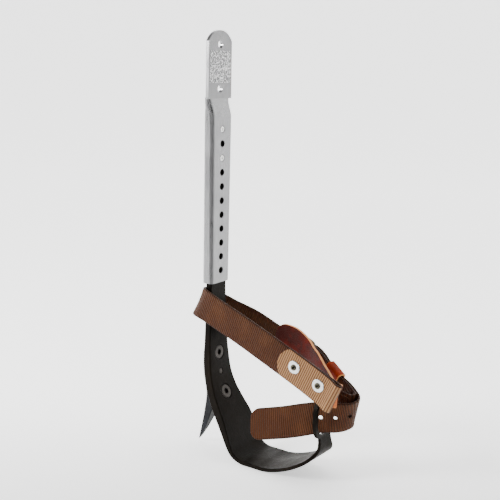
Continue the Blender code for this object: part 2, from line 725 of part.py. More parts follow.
def along_from_end(frames, distance):
    """The frame at a distance from the strap's last point."""
    travelled = 0.0
    for nearer, further in zip(reversed(frames), list(reversed(frames))[1:]):
        step = (nearer[0] - further[0]).length
        if travelled + step >= distance:
            part = (distance - travelled) / step
            return nearer[0].lerp(further[0], part), nearer[3]
        travelled += step
    raise ValueError("the strap is shorter than this")


def rivet_point(side):
    x = RIVET_X[side]
    return Vector((x, FRONT_Y, front_height(x) + RIVET_RISE))


def make_ankle_strap():
    frames = frames_along(ankle_strap_route(), 3)
    halves = [min(pair) for pair in zip(rounded_end(frames, WEB_WIDTH, 9.0),
                                        bowed_start(frames, WEB_WIDTH, BOW_RADIUS))]
    strap = ribbon("ankle_strap", frames, halves, WEB_THICKNESS, WEBBING)
    for side in RIVET_X:
        cut(strap, cylinder_cutter(f"ankle_strap_rivet_{side}", RIVET_RADIUS + GAP, 16.0, (0, 1, 0),
                                   rivet_point(side), 16))
    for index in range(PUNCH_COUNT):
        point, facing_out = along_from_end(frames, PUNCH_FIRST + PUNCH_PITCH * index)
        cut(strap, cylinder_cutter(f"punch_{index + 1}", PUNCH_RADIUS, 5.0, facing_out, point, 16))
    slot = box_cutter("tongue_slot", (11.0, 16.0, 3.8), (ALONG, OUT, ACROSS), back_point(-8.0, 3.0))
    cut(strap, slot)
    return strap


def make_buckle_strap():
    frames = frames_along(buckle_strap_route(), 2)
    strap = ribbon("buckle_strap", frames, even_widths(len(frames), WEB_WIDTH), WEB_THICKNESS, WEBBING)
    cut(strap, box_cutter("hub_slot", (10.4, 16.0, 5.2), (ALONG, OUT, ACROSS), back_point(-1.0, 0.0)))
    return strap


def make_guard():
    frames = frames_along(guard_route(), 3)
    halves = rounded_end(frames, 26.0, 13.0)
    for i, (point, _, _, _) in enumerate(frames):
        riveted = point.y < -14.0
        narrow = 10.4 if riveted else 10.4 + 2.6 * min(max((50.0 - point.x) / 10.0, 0.0), 1.0)
        halves[i] = min(halves[i], narrow)
    guard = ribbon("leather_guard", frames, halves, LEATHER, LEATHER_RED)
    for side in RIVET_X:
        cut(guard, cylinder_cutter(f"guard_rivet_{side}", RIVET_RADIUS + GAP, 6.0, (0, 1, 0),
                                   rivet_point(side) + Vector((0, 3.0, 0)), 16))
    return guard


def make_keeper():
    """A leather band round both layers of webbing."""
    inner_out = LAYER / 2 + WEB_THICKNESS / 2 + 0.5
    inner_wide = WEB_WIDTH / 2 + 0.6
    wall = 1.8
    corner = 1.6

    def band(half_out, half_wide, radius, along):
        made = []
        for quarter, (so, sw) in enumerate(((1, 1), (-1, 1), (-1, -1), (1, -1))):
            for step in range(4):
                angle = math.radians(90 * quarter + 30 * step)
                out = so * (half_out - radius) + radius * math.cos(angle)
                wide = sw * (half_wide - radius) + radius * math.sin(angle)
                made.append(keeper_point(along, out) + KEEPER_ACROSS * wide)
        return made

    half = KEEPER_LENGTH / 2
    outer = [band(inner_out + wall, inner_wide + wall, corner + wall, a) for a in (-half, half)]
    keeper = loft("leather_keeper", outer, LEATHER_RED)
    size = (KEEPER_LENGTH + 6.0, inner_out * 2, inner_wide * 2)
    axes = (KEEPER_AXIS, KEEPER_OUT, KEEPER_ACROSS)
    cut(keeper, box_cutter("keeper_mouth", size, axes, KEEPER))
    set_origin(keeper, KEEPER.copy())
    return keeper


# ---------------------------------------------------------------- buckle and rivets

def frame_corner(along, wide, turn_along, turn_wide, radius=3.6):
    """A rounded corner of the buckle's frame, from one side to the next."""
    made = []
    for step in range(5):
        angle = math.radians(22.5 * step)
        a = along + turn_along * radius * (1 - math.cos(angle))
        w = wide + turn_wide * radius * (1 - math.sin(angle))
        made.append((a, w))
    return made


def make_buckle():
    half = FRAME_HALF_WIDTH
    far = ROLLER_ALONG
    outline = frame_corner(0.0, half, -1, -1)
    outline += reversed(frame_corner(far, half, 1, -1))
    outline += frame_corner(far, -half, 1, 1)
    outline += reversed(frame_corner(0.0, -half, -1, 1))
    rise = ROLLER_OUT / ROLLER_ALONG
    route = [back_point(a, a * rise) + ACROSS * w for a, w in outline]
    frame = rod("buckle_frame", route, WIRE_RADIUS, OLIVE, closed=True)
    set_origin(frame, BUCKLE.copy())

    bore = WIRE_RADIUS + GAP
    half_length = ROLLER_LENGTH / 2
    profile = ((bore, half_length), (ROLLER_RADIUS, half_length), (ROLLER_RADIUS, -half_length),
               (bore, -half_length))
    turned("buckle_roller", profile, ACROSS, back_point(ROLLER_ALONG, ROLLER_OUT), OLIVE, 24)

    hub_half = 1.8
    profile = ((bore, hub_half), (3.3, hub_half), (3.3, -hub_half), (bore, -hub_half))
    tip_out = ROLLER_OUT + ROLLER_RADIUS + GAP + 1.3
    middle_line = smooth(
        [back_point(a, o) for a, o in ((-2.5, 1.6), (-8.0, 3.6), (-17.0, 5.6), (-26.0, tip_out + 0.05),
                                       (-30.8, tip_out - 0.2))], 4)
    tongue = rod("buckle_tongue", middle_line, 1.3, OLIVE)
    join(tongue, turned("tongue_hub", profile, ACROSS, BUCKLE, OLIVE, 24))
    set_origin(tongue, BUCKLE.copy())


def make_rivets():
    """Tubular rivets with a washer on the webbing and one on the leather inside."""
    outward = Vector((0.0, -1.0, 0.0))
    web_face = LAYER + WEB_THICKNESS / 2
    leather_face = WEB_THICKNESS / 2 + GAP + LEATHER
    washer = 0.8
    rim = web_face + GAP * 2 + washer
    inner_end = -(leather_face + GAP * 2 + washer)
    for side in RIVET_X:
        centre = rivet_point(side)
        bore = RIVET_RADIUS + GAP
        profile = ((bore, 0.5), (5.2, 0.5), (5.7, 0.1), (5.7, -0.3), (bore, -0.3))
        turned(f"rivet_washer_{side}", profile, outward, centre + outward * (web_face + GAP + 0.3), NICKEL)
        profile = ((bore, 0.4), (4.8, 0.4), (4.8, -0.4), (bore, -0.4))
        turned(f"rivet_burr_{side}", profile, outward,
               centre - outward * (leather_face + GAP + 0.4), NICKEL)
        profile = ((0, rim - 2.4), (0.9, rim - 2.4), (1.0, rim + 0.5), (1.5, rim + 0.9), (2.3, rim + 0.7),
                   (2.7, rim), (RIVET_RADIUS, rim), (RIVET_RADIUS, inner_end), (2.6, inner_end),
                   (2.4, inner_end - 0.9), (1.0, inner_end - 1.2), (0, inner_end - 1.2))
        turned(f"rivet_{side}", profile, outward, centre, NICKEL)


def main():
    make_climber_frame()
    make_strap_loop()
    make_sleeve()
    make_sleeve_screws()
    make_gaff()
    make_gaff_fasteners()
    make_ankle_strap()
    make_buckle_strap()
    make_guard()
    make_keeper()
    make_buckle()
    make_rivets()


main()
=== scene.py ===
"""Looks for the tree climbing spur: webbing, leather, forged and plated steel, and the studio."""
import math

import bmesh
import bpy
import numpy as np
from mathutils import Matrix, Vector


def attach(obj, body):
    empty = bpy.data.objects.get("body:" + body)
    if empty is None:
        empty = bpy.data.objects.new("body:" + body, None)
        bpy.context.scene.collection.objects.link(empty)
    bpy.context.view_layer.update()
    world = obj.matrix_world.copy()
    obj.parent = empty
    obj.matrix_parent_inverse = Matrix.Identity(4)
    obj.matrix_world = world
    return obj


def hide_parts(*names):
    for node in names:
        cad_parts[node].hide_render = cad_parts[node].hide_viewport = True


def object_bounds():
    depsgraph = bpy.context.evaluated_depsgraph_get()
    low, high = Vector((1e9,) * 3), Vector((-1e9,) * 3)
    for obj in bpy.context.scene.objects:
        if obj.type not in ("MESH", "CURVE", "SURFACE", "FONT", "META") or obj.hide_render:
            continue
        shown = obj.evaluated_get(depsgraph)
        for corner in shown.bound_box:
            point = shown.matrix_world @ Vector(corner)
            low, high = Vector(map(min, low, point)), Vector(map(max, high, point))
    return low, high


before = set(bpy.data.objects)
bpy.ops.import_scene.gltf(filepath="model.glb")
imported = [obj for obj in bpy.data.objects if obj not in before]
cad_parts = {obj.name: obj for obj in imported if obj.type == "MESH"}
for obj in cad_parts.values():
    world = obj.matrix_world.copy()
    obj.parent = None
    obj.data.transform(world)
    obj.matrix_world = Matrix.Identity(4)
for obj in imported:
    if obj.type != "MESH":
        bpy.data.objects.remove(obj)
cad_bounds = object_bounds()

MM = 0.001
GAP = 0.3                    # clearance between touching pieces, mm

# The camera: a long lens, a little above the straps
CAMERA_PLACE = Vector((0.4486, -0.6723, 0.3544))
CAMERA_HEADING = 35.2        # degrees from +Y towards -X
CAMERA_TILT = 11.4           # degrees down
CAMERA_ROLL = 1.12
CAMERA_LENS = 68.4
TOWARD_CAMERA = (0.55, -0.83)
BACKDROP_GLOW = 1.5          # behind the object; the camera's side is dark

# Webbing and leather, mm
WEB_WIDTH = 28.0
WEB_THICKNESS = 2.2
LAYER = WEB_THICKNESS + 0.4
RIB_PITCH = 1.95
RIB_STEPS = 8
RIB_DEPTH = 0.34
LEATHER = 2.0
FRONT_Y = -20.0
FRONT_LEAN = 24.5
BUCKLE = Vector((17.4, 34.5, 87.2))
BACK_SLOPE = 21.0
BACK_TURN = 2.0
KEEPER = Vector((45.5, 28.0, 74.7))
KEEPER_SLOPE = 27.0
KEEPER_TURN = 20.0
WIRE_RADIUS = 1.7
KEEPER_LENGTH = 17.5
GUARD_WIDTH = 26.0
GUARD_TAB_HALF = 10.4        # where it is riveted
GUARD_FLARE_X = 50.0         # the flap widens to its full width left of here
GUARD_TAB_Y = -14.0          # the riveted tab lies in front of here
WEB_EDGE = 0.9               # radius of the webbing's edges
TAIL_RADIUS = 9.0
RIVET_X = (39.0, 63.0)
RIVET_RISE = 3.5             # above the front run's middle
RIVET_HOLE = 1.9
FOLD_LENGTH = 60.0           # of the webbing's riveted outer layer
BOW_RADIUS = 17.8            # of the riveted end's cut
PUNCH_RADIUS = 1.9
PUNCH_PITCH = 12.7
PUNCH_FIRST = 67.0
PUNCH_COUNT = 5
TONGUE_SLOT = (11.0, 16.0, 3.8)    # along, out of and across the strap
HUB_SLOT = (10.4, 16.0, 5.2)

# The stippled panel on the pad plate, and the plate's lower edge, metres
PANEL_Z = (0.3325, 0.3610)
PANEL_HALF_WIDTH = 0.0155
PANEL_FADE = 0.001
PLATE_BEHIND_X = -0.0615
PLATE_LOW_Z = 0.3194


# ---------------------------------------------------------------- axes of the straps' runs

def run_axes(slope, turn):
    """Along, out of and across a run that falls by a slope and turns to the front, in degrees."""
    slope, turn = math.radians(slope), math.radians(turn)
    flat = Vector((math.cos(turn), -math.sin(turn), 0.0))
    along = flat * math.cos(slope) - Vector((0.0, 0.0, math.sin(slope)))
    out = Vector((math.sin(turn), math.cos(turn), 0.0))
    return along, out, along.cross(out)


ALONG, OUT, ACROSS = run_axes(BACK_SLOPE, BACK_TURN)
KEEPER_AXIS, KEEPER_OUT, KEEPER_ACROSS = run_axes(KEEPER_SLOPE, KEEPER_TURN)


# ---------------------------------------------------------------- shader helpers

class Shader:
    """A material's node tree, built with short calls."""

    def __init__(self, name, roughness=0.5, metallic=0.0):
        self.material = bpy.data.materials.new(name)
        self.material.use_nodes = True
        self.tree = self.material.node_tree
        self.principled = self.tree.nodes["Principled BSDF"]
        self.put("Roughness", roughness)
        self.put("Metallic", metallic)

    def node(self, kind, **settings):
        made = self.tree.nodes.new(kind)
        for key, value in settings.items():
            setattr(made, key, value)
        return made

    def feed(self, socket, value):
        """Links an output socket, or sets a constant."""
        if isinstance(value, bpy.types.NodeSocket):
            self.tree.links.new(value, socket)
        else:
            socket.default_value = value

    def put(self, name, value):
        self.feed(self.principled.inputs[name], value)

    def object_coordinates(self, scale=(1.0, 1.0, 1.0)):
        mapping = self.node("ShaderNodeMapping")
        mapping.inputs["Scale"].default_value = scale
        self.feed(mapping.inputs["Vector"], self.node("ShaderNodeTexCoord").outputs["Object"])
        return mapping.outputs["Vector"]

    def uv(self):
        return self.node("ShaderNodeTexCoord").outputs["UV"]

    def split(self, vector):
        made = self.node("ShaderNodeSeparateXYZ")
        self.feed(made.inputs[0], vector)
        return made.outputs

    def join(self, x, y, z=0.0):
        made = self.node("ShaderNodeCombineXYZ")
        for socket, value in zip(made.inputs, (x, y, z)):
            self.feed(socket, value)
        return made.outputs[0]

    def math(self, operation, first, second=0.0):
        made = self.node("ShaderNodeMath", operation=operation)
        for socket, value in zip(made.inputs, (first, second)):
            self.feed(socket, value)
        return made.outputs[0]

    def noise(self, vector, scale, detail=4.0, rough=0.55, distortion=0.0):
        made = self.node("ShaderNodeTexNoise")
        self.feed(made.inputs["Vector"], vector)
        for name, value in (("Scale", scale), ("Detail", detail), ("Roughness", rough),
                            ("Distortion", distortion)):
            made.inputs[name].default_value = value
        return made.outputs["Fac"]

    def cell_edges(self, vector, scale):
        made = self.node("ShaderNodeTexVoronoi", feature="DISTANCE_TO_EDGE")
        self.feed(made.inputs["Vector"], vector)
        made.inputs["Scale"].default_value = scale
        return made.outputs["Distance"]

    def spread(self, value, low, high, to_low=0.0, to_high=1.0):
        """Maps low..high smoothly to to_low..to_high, clamped."""
        made = self.node("ShaderNodeMapRange")
        made.interpolation_type = "SMOOTHSTEP"
        self.feed(made.inputs["Value"], value)
        for name, bound in (("From Min", low), ("From Max", high), ("To Min", to_low),
                            ("To Max", to_high)):
            self.feed(made.inputs[name], bound)
        return made.outputs["Result"]

    def blend(self, factor, first, second):
        made = self.node("ShaderNodeMix", data_type="RGBA")
        self.feed(made.inputs[0], factor)
        self.feed(made.inputs[6], first)
        self.feed(made.inputs[7], second)
        return made.outputs[2]

    def bump(self, *layers):
        """Stacks (height, distance in metres) layers into one normal."""
        normal = None
        for height, distance in layers:
            made = self.node("ShaderNodeBump")
            made.inputs["Strength"].default_value = 1.0
            made.inputs["Distance"].default_value = distance
            self.feed(made.inputs["Height"], height)
            if normal:
                self.feed(made.inputs["Normal"], normal)
            normal = made.outputs["Normal"]
        self.put("Normal", normal)


def rgb(red, green, blue):
    """A colour given as it looks on screen, 0 to 255, made linear."""
    made = []
    for value in (red, green, blue):
        v = value / 255
        made.append(v / 12.92 if v <= 0.04045 else ((v + 0.055) / 1.055) ** 2.4)
    return (*made, 1.0)


# ---------------------------------------------------------------- materials

def webbing_material(name, tint, lit_reverse_tone=None):
    """Ribbed nylon: UV runs along the strap in metres, V across it. Its riveted end may be lighter: the
    reverse side's tone, brightened as painted light.
    """
    s = Shader(name, 0.42)
    u, v, _ = s.split(s.uv())
    rib = s.math("MULTIPLY", u, math.pi / (RIB_PITCH * MM))
    ridge = s.math("ABSOLUTE", s.math("SINE", rib))
    row = s.math("FLOOR", s.math("DIVIDE", u, RIB_PITCH * MM))
    shift = s.math("MULTIPLY", s.math("MODULO", row, 2.0), 0.5)
    column = s.math("ADD", s.math("DIVIDE", v, 1.05 * MM), shift)
    yarn = s.math("ABSOLUTE", s.math("SINE", s.math("MULTIPLY", column, math.pi)))
    weave = s.math("MULTIPLY", s.math("POWER", ridge, 0.5), s.math("POWER", yarn, 0.4))
    fibre = s.noise(s.join(s.math("MULTIPLY", u, 9000.0), s.math("MULTIPLY", v, 1600.0)), 1.0, 3.0)
    patch = s.noise(s.object_coordinates(), 42.0, 5.0, 0.6)
    fine = s.noise(s.object_coordinates(), 900.0, 2.0)
    dark, body, light = tint
    colour = s.blend(s.spread(weave, 0.3, 0.98), dark, body)
    colour = s.blend(s.math("MULTIPLY", s.spread(patch, 0.4, 0.75), 0.08), colour, light)
    colour = s.blend(s.spread(fibre, 0.4, 0.8, 0.0, 0.22), colour, light)
    selvedge = s.spread(s.math("ABSOLUTE", v), 0.0122, 0.0132)
    colour = s.blend(s.math("MULTIPLY", selvedge, 0.45), colour, dark)
    if lit_reverse_tone:
        # the riveted outer layer is lighter: the reverse side's own tone, and painted light where the fold is
        # lit
        riveted = s.spread(u, FOLD_LENGTH * MM, (FOLD_LENGTH + 8.0) * MM, 0.85, 0.0)
        colour = s.blend(riveted, colour, s.blend(s.spread(weave, 0.3, 0.98), body, lit_reverse_tone))
    s.put("Base Color", colour)
    s.put("Roughness", s.spread(fine, 0.3, 0.7, 0.34, 0.52))
    s.put("Sheen Weight", 0.02)
    s.put("Sheen Roughness", 0.35)
    s.put("Sheen Tint", (0.95, 0.78, 0.62, 1.0))
    s.put("Specular IOR Level", 0.12)
    s.bump((weave, 0.00038), (fibre, 0.00006))
    return s.material


def leather_material(name, dark, body):
    s = Shader(name, 0.42)
    place = s.object_coordinates()
    grain = s.cell_edges(place, 1500.0)
    pores = s.noise(place, 2600.0, 3.0)
    patch = s.noise(place, 55.0, 5.0, 0.6)
    crease = s.noise(s.object_coordinates((1.0, 1.0, 0.35)), 210.0, 4.0, 0.65, 0.6)
    colour = s.blend(s.spread(patch, 0.35, 0.7), dark, body)
    colour = s.blend(s.spread(crease, 0.55, 0.75, 0.0, 0.35), colour, dark)
    s.put("Base Color", colour)
    s.put("Roughness", s.spread(patch, 0.3, 0.7, 0.44, 0.6))
    s.put("Specular IOR Level", 0.09)
    s.bump((s.spread(grain, 0.0, 0.16), 0.00006), (pores, 0.00003), (crease, 0.00012))
    return s.material


def fibrous_material(name, body, light, dark, roughness):
    """Leather where it was cut, or its flesh side: loose fibres."""
    s = Shader(name, roughness)
    place = s.object_coordinates()
    fibre = s.noise(place, 1900.0, 4.0, 0.7)
    patch = s.noise(place, 160.0, 3.0)
    colour = s.blend(s.spread(fibre, 0.3, 0.75), body, light)
    colour = s.blend(s.spread(patch, 0.5, 0.8, 0.0, 0.5), colour, dark)
    s.put("Base Color", colour)
    s.bump((fibre, 0.00012))
    return s.material


def thread_material():
    s = Shader("waxed_thread", 0.45)
    strand = s.noise(s.object_coordinates(), 3200.0, 3.0)
    s.put("Base Color", s.blend(s.spread(strand, 0.3, 0.7), rgb(60, 40, 28), rgb(112, 82, 58)))
    s.put("Roughness", s.spread(strand, 0.3, 0.7, 0.36, 0.55))
    s.bump((strand, 0.00008))
    return s.material


def forged_material(name, deep, scale_colour, roughness=0.42, metallic=0.05):
    """Black-oxide forging with a brown cast."""
    s = Shader(name, roughness, metallic)
    place = s.object_coordinates()
    broad = s.noise(place, 38.0, 6.0, 0.6)
    pits = s.noise(place, 520.0, 4.0, 0.65)
    grit = s.noise(place, 2400.0, 2.0)
    s.put("Specular IOR Level", 0.05)
    s.put("Specular Tint", (1.0, 0.9, 0.78, 1.0))
    scale = s.math("ADD", s.math("MULTIPLY", broad, 0.7), s.math("MULTIPLY", pits, 0.3))
    s.put("Base Color", s.blend(s.spread(scale, 0.38, 0.66), deep, scale_colour))
    s.put("Roughness", s.spread(s.math("ADD", broad, s.math("MULTIPLY", pits, 0.5)), 0.5, 1.0,
                                roughness - 0.08, roughness + 0.14))
    s.bump((broad, 0.0006), (pits, 0.00016), (grit, 0.00003))
    return s.material


def plated_material(name, body, shade, roughness):
    s = Shader(name, roughness, 1.0)
    lines = s.noise(s.object_coordinates(), 5200.0, 3.0, 0.6)
    patch = s.noise(s.object_coordinates(), 60.0, 4.0)
    s.put("Base Color", s.blend(s.spread(lines, 0.35, 0.7), shade, body))
    s.put("Roughness", s.spread(s.math("ADD", s.math("MULTIPLY", lines, 0.5), patch), 0.5, 1.0,
                                roughness - 0.06, roughness + 0.1))
    s.bump((lines, 0.000012), (patch, 0.0001))
    return s.material


def sleeve_material():
    """Satin plate, drawn along Z, with a stippled panel between the pad plate's holes."""
    s = Shader("satin_sleeve", 0.3, 1.0)
    lines = s.noise(s.object_coordinates((1.0, 1.0, 0.015)), 4200.0, 3.0, 0.6)
    patch = s.noise(s.object_coordinates(), 45.0, 4.0)
    speck = s.noise(s.object_coordinates(), 780.0, 3.0, 0.75, 0.4)
    x, y, z = s.split(s.object_coordinates())
    low, high = PANEL_Z
    above = s.spread(z, low, low + PANEL_FADE)
    below = s.spread(z, high - PANEL_FADE, high, 1.0, 0.0)
    side = s.spread(s.math("ABSOLUTE", y), PANEL_HALF_WIDTH - PANEL_FADE, PANEL_HALF_WIDTH, 1.0, 0.0)
    front = s.math("GREATER_THAN", x, PLATE_BEHIND_X)
    panel = s.math("MULTIPLY", s.math("MULTIPLY", above, below), s.math("MULTIPLY", side, front))
    dots = s.math("MULTIPLY", panel, s.spread(speck, 0.5, 0.55))
    plate = s.math("MULTIPLY", s.spread(z, PLATE_LOW_Z, PLATE_LOW_Z + 0.0004), front)
    colour = s.blend(s.spread(lines, 0.35, 0.7), (0.2, 0.2, 0.204, 1.0), (0.31, 0.31, 0.314, 1.0))
    colour = s.blend(s.math("MULTIPLY", plate, 0.6), colour, (0.17, 0.17, 0.172, 1.0))
    colour = s.blend(s.math("MULTIPLY", panel, 0.6), colour, (0.12, 0.12, 0.122, 1.0))
    colour = s.blend(s.math("MULTIPLY", dots, 0.9), colour, (0.8, 0.8, 0.8, 1.0))
    s.put("Base Color", colour)
    rough = s.spread(s.math("ADD", s.math("MULTIPLY", lines, 0.5), patch), 0.5, 1.0, 0.24, 0.36)
    s.put("Roughness", s.math("ADD", rough, s.math("MULTIPLY", panel, 0.12)))
    s.bump((lines, 0.000015), (patch, 0.00008), (dots, 0.0004))
    return s.material


# ---------------------------------------------------------------- curves and strips

def smooth(points, steps):
    """Points along a Catmull-Rom curve through tuples of any one length."""
    known = np.array([tuple(p) for p in points], float)
    padded = np.vstack([2 * known[0] - known[1], known, 2 * known[-1] - known[-2]])
    t = (np.arange(steps) / steps)[:, None]
    made = []
    for before, start, end, after in zip(padded, padded[1:], padded[2:], padded[3:]):
        made.append((2 * start + (end - before) * t + (2 * before - 5 * start + 4 * end - after) * t ** 2
                     + (3 * start - before - 3 * end + after) * t ** 3) / 2)
    return np.vstack([*made, known[-1:]])


def evenly(samples, spacing):
    """Samples at even distances along their first three columns, and those distances."""
    travel = np.concatenate([[0.0], np.cumsum(np.linalg.norm(np.diff(samples[:, :3], axis=0), axis=1))])
    count = max(int(round(travel[-1] / spacing)), 2)
    wanted = np.linspace(0.0, travel[-1], count + 1)
    made = np.stack([np.interp(wanted, travel, samples[:, i]) for i in range(samples.shape[1])], axis=1)
    return made, wanted


def unit(vectors):
    return vectors / np.linalg.norm(vectors, axis=1, keepdims=True)


def strip_axes(samples):
    """Direction, width direction and facing along a strap; columns are those of station()."""
    along = unit(np.gradient(samples[:, :3], axis=0))
    splay, lean, turn = (np.radians(samples[:, i:i + 1]) for i in (3, 4, 5))
    hanging = np.hstack([-np.cos(turn) * np.sin(lean), np.sin(turn) * np.sin(lean), -np.cos(lean)])
    down = unit(hanging - along * np.sum(along * hanging, axis=1, keepdims=True))
    wide = down * np.cos(splay) + np.cross(along, down) * np.sin(splay)
    return along, wide, np.cross(along, wide)


def station(x, y, z, splay=0.0, lean=0.0, turn=0.0):
    """A point on a strap's middle. Splay flares the lower edge out; lean tips the width, to -X
    or, turned, also to +Y."""
    return (x, y, z, splay, lean, turn)


def front_height(x):
    """Height of the front run's middle, a slightly steepening fall to the right."""
    return 109.5 - 0.409 * (x - 8.0) - 0.000577 * (x - 8.0) ** 2


def front_points(layer_y, pairs):
    """Points along the front run, each given by its x and its rise above the run's middle."""
    return [station(x, layer_y, front_height(x) + rise, lean=FRONT_LEAN) for x, rise in pairs]


def back_point(along, out):
    """A point beside the back run: along it and out of it, from the buckle's crossbar."""
    return BUCKLE + ALONG * along + OUT * out


def back_points(pairs):
    """Points beside the buckle, where the width lies along its crossbar."""
    return [station(*back_point(along, out), lean=BACK_SLOPE, turn=BACK_TURN) for along, out in pairs]


def keeper_point(along, out):
    return KEEPER + KEEPER_AXIS * along + KEEPER_OUT * out


def keeper_points(pairs):
    return [station(*keeper_point(along, out), lean=KEEPER_SLOPE, turn=KEEPER_TURN)
            for along, out in pairs]


def ankle_strap_route():
    """Middle of the webbing from the riveted end to the tail."""
    outer_y = FRONT_Y - LAYER
    route = front_points(outer_y, [(x, 1.9) for x in (23.0, 24.5, 26.5, 29.0, 34.0, 46.0, 58.0)])
    nose = ((68.4, -0.1), (72.4, -1.2), (75.2, -2.0), (78.0, -0.6), (78.2, 1.4), (75.6, 2.3))
    route += [station(x, outer_y + dy, front_height(x) + 1.6, lean=FRONT_LEAN) for x, dy in nose]
    route += front_points(FRONT_Y, ((68.0, 1.3), (52.0, 0.6), (30.0, 0.0), (8.0, 0.0)))
    route += [
        station(-20.0, -19.2, front_height(-20.0)), station(-44.0, -18.6, front_height(-44.0)),
        station(-58.0, -18.0, 134.4, 4.0), station(-67.8, -15.4, 136.6, 13.0),
        station(-74.0, -9.0, 136.2, 24.0), station(-76.0, 0.0, 134.0, 28.0),
        station(-74.2, 9.2, 130.2, 21.0), station(-67.8, 16.2, 125.0, 10.0),
        station(-58.0, 22.0, 119.2, 4.0), station(-40.0, 30.4, 110.4),
    ]
    route += back_points(((-40.0, -2.2), (-27.0, -2.4), (-19.0, -1.2), (-11.5, 2.4), (-4.5, 5.3),
                          (1.0, 5.9), (6.5, 5.0), (10.0, 3.3), (13.5, 1.8)))
    route += keeper_points(((-11.0, LAYER / 2), (0.0, LAYER / 2), (9.0, LAYER / 2)))
    route += [
        station(64.8, 23.0, 66.3, lean=20.0, turn=20.0), station(75.8, 17.3, 61.3, lean=16.0, turn=20.0),
        station(80.2, 12.4, 59.8, lean=15.0, turn=20.0), station(79.8, 7.6, 58.2, -4.0, 15.0, 10.0),
        station(75.4, 3.0, 56.2, -8.0, 12.0), station(67.2, -1.0, 54.4, -5.0, 6.0),
        station(57.0, -4.0, 53.6), station(46.0, -9.2, 51.0, 7.0), station(28.0, -14.2, 45.4, 20.0),
        station(8.0, -17.6, 40.0, 24.0), station(-7.0, -20.0, 36.4, 25.0),
    ]
    return route


def buckle_strap_route():
    """From the sewn tab, round the crossbar, through the keeper and round its own hem."""
    fold = WIRE_RADIUS + GAP + WEB_THICKNESS / 2 + 0.1
    pairs = [(8.8, LAYER / 2 - 0.1), (6.0, LAYER / 2 + 0.2)]
    for degrees in range(60, 301, 30):
        angle = math.radians(degrees)
        pairs.append((fold * math.cos(angle), fold * math.sin(angle)))
    pairs += [(6.4, -LAYER / 2 - 0.2), (12.0, -LAYER / 2)]
    route = back_points(pairs)
    route += keeper_points(((-11.0, -LAYER / 2), (0.0, -LAYER / 2), (9.0, -LAYER / 2)))
    route += [
        station(63.5, 20.6, 66.8, lean=20.0, turn=20.0), station(71.8, 16.0, 63.6, lean=17.0, turn=20.0),
        station(75.6, 12.8, 62.6, lean=14.0, turn=20.0), station(75.6, 9.8, 62.0, lean=14.0, turn=20.0),
        station(73.0, 8.6, 61.8, lean=14.0, turn=20.0), station(65.0, 9.8, 62.0, lean=14.0, turn=20.0),
    ]
    return route


def guard_route():
    """Leather: behind the rivets, round past the riveted end, and back as a free flap."""
    middle = FRONT_Y + WEB_THICKNESS / 2 + GAP + LEATHER / 2
    route = front_points(middle, ((27.0, 0.6), (45.0, 0.8), (58.0, 0.9), (66.0, 0.9)))
    route += [
        station(72.2, middle + 1.6, 81.4, lean=20.0), station(74.8, -13.8, 80.0, lean=14.0),
        station(74.0, -11.4, 79.2, lean=6.0), station(70.6, -8.8, 79.4), station(65.8, -6.0, 80.9),
        station(48.4, 5.2, 89.6), station(33.0, 15.4, 94.6), station(22.7, 21.2, 99.6),
        station(8.9, 26.0, 104.6), station(-3.0, 28.6, 105.4), station(-15.2, 30.0, 104.8),
    ]
    return route


def section_loop(half, thickness, corner, across_count, corner_steps=4):
    """A strap's cross-section with rounded edges: (v, depth) pairs, and which points face out."""
    corner = min(corner, thickness / 2 - 0.01, half - 0.01)
    flat_half, flat_deep = half - corner, thickness / 2 - corner
    made = [(-flat_half + 2 * flat_half * i / across_count, thickness / 2) for i in range(across_count)]
    for quarter, (sv, sd) in enumerate(((1, 1), (1, -1))):
        for step in range(corner_steps + 1):
            angle = math.radians(90 - 90 * quarter - 90 * step / corner_steps)
            made.append((sv * flat_half + corner * math.cos(angle),
                         sd * flat_deep + corner * math.sin(angle)))
    made += [(flat_half - 2 * flat_half * i / across_count, -thickness / 2)
             for i in range(1, across_count)]
    for quarter, sd in enumerate((-1, 1)):
        for step in range(corner_steps + 1):
            angle = math.radians(270 - 90 * quarter - 90 * step / corner_steps)
            made.append((-flat_half + corner * math.cos(angle), sd * flat_deep + corner * math.sin(angle)))
    return np.array(made[:-1])


